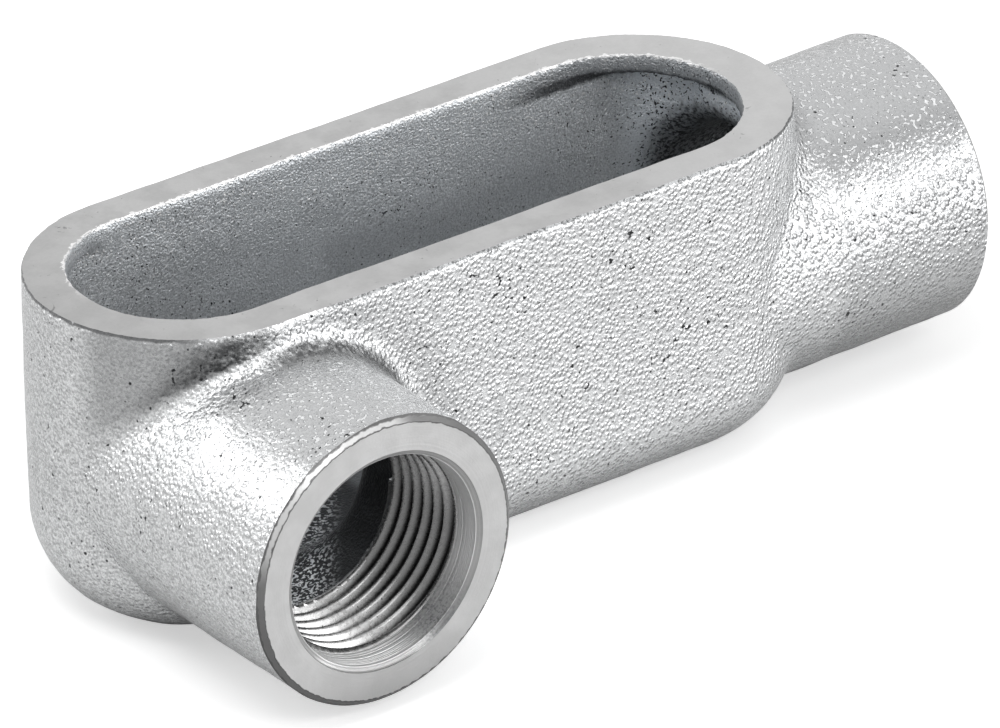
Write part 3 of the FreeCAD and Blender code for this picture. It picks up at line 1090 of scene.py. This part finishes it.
def soft_light(name, place, target, size, power):
    """A rectangular softbox, placed and aimed in millimetres."""
    data = bpy.data.lights.new(name, "AREA")
    data.shape = "RECTANGLE"
    data.size = size[0] * MM
    data.size_y = size[1] * MM
    data.energy = power
    lamp = bpy.data.objects.new(name, data)
    lamp.location = Vector(place) * MM
    aim = Vector(target) - Vector(place)
    lamp.rotation_mode = "QUATERNION"
    lamp.rotation_quaternion = aim.to_track_quat("-Z", "Y")
    bpy.context.scene.collection.objects.link(lamp)


# Extra brightness of the floor as the camera sees it, and in gloss
FLOOR_GLOW = 0.5
FLOOR_GLOSS_GLOW = 0.06
FLOOR_HALF_WIDTH = 4000
WORLD_STRENGTH = 0.25

# Each softbox: its place, what it is aimed at, its width and height, and its watts
LAMPS = {
    "top_box": ((-200, -80, 640), (0, 0, 20), (420, 420), 1.5),
    "front_box": ((490, -530, 205), (10, 0, 20), (480, 370), 2.3),
    "upper_box": ((-135, -504, 510), (-30, 0, 20), (420, 160), 0.9),
    "back_box": ((-460, 520, 400), (-20, 0, 20), (360, 360), 1.5),
}


def make_world():
    """Plain white as the camera sees it, in gloss and through glass, and a softer light for the rest."""
    world = bpy.data.worlds.new("studio")
    bpy.context.scene.world = world
    world.use_nodes = True
    tree = world.node_tree
    path = tree.nodes.new("ShaderNodeLightPath").outputs
    seen = path["Is Camera Ray"]
    for ray in ("Is Glossy Ray", "Is Transmission Ray"):
        either = tree.nodes.new("ShaderNodeMath")
        either.operation = "MAXIMUM"
        tree.links.new(seen, either.inputs[0])
        tree.links.new(path[ray], either.inputs[1])
        seen = either.outputs[0]
    strength = tree.nodes.new("ShaderNodeMapRange")
    strength.inputs["To Min"].default_value = WORLD_STRENGTH
    strength.inputs["To Max"].default_value = 1.0
    tree.links.new(seen, strength.inputs["Value"])
    background = tree.nodes["Background"]
    background.inputs["Color"].default_value = (1, 1, 1, 1)
    tree.links.new(strength.outputs[0], background.inputs["Strength"])


def make_stage():
    """The pale floor, the white surroundings and the studio lamps."""
    corners = FLOOR_HALF_WIDTH * np.array([(-1, -1, 0), (1, -1, 0), (1, 1, 0), (-1, 1, 0)])
    floor = mesh_object("floor", corners, [(0, 1, 2, 3)])
    n = Nodes("pale_floor")
    path = n.tree.nodes.new("ShaderNodeLightPath").outputs
    seen_glow = n.times(path["Is Camera Ray"], FLOOR_GLOW)
    n.put(n.shader.inputs["Emission Color"], (1, 1, 1, 1))
    n.put(n.shader.inputs["Emission Strength"], n.times_plus(path["Is Glossy Ray"], FLOOR_GLOSS_GLOW, seen_glow))
    floor.data.materials.append(n.finish((0.9, 0.9, 0.9, 1), 0.6, 0.0))
    make_world()
    for name, (place, target, size, power) in LAMPS.items():
        soft_light(name, place, target, size, power)


def dress():
    """The casting in place of the frame's solid, with its materials."""
    piece = casting()
    in_order = (cast_outside_material, cast_inside_material, ground_rim_material, turned_material,
                thread_material)
    for make in in_order:
        piece.data.materials.append(make())
    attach(piece, "root")
    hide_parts("conduit_body")


bpy.context.scene.view_settings.view_transform = "Standard"
dress()
make_stage()
make_camera()
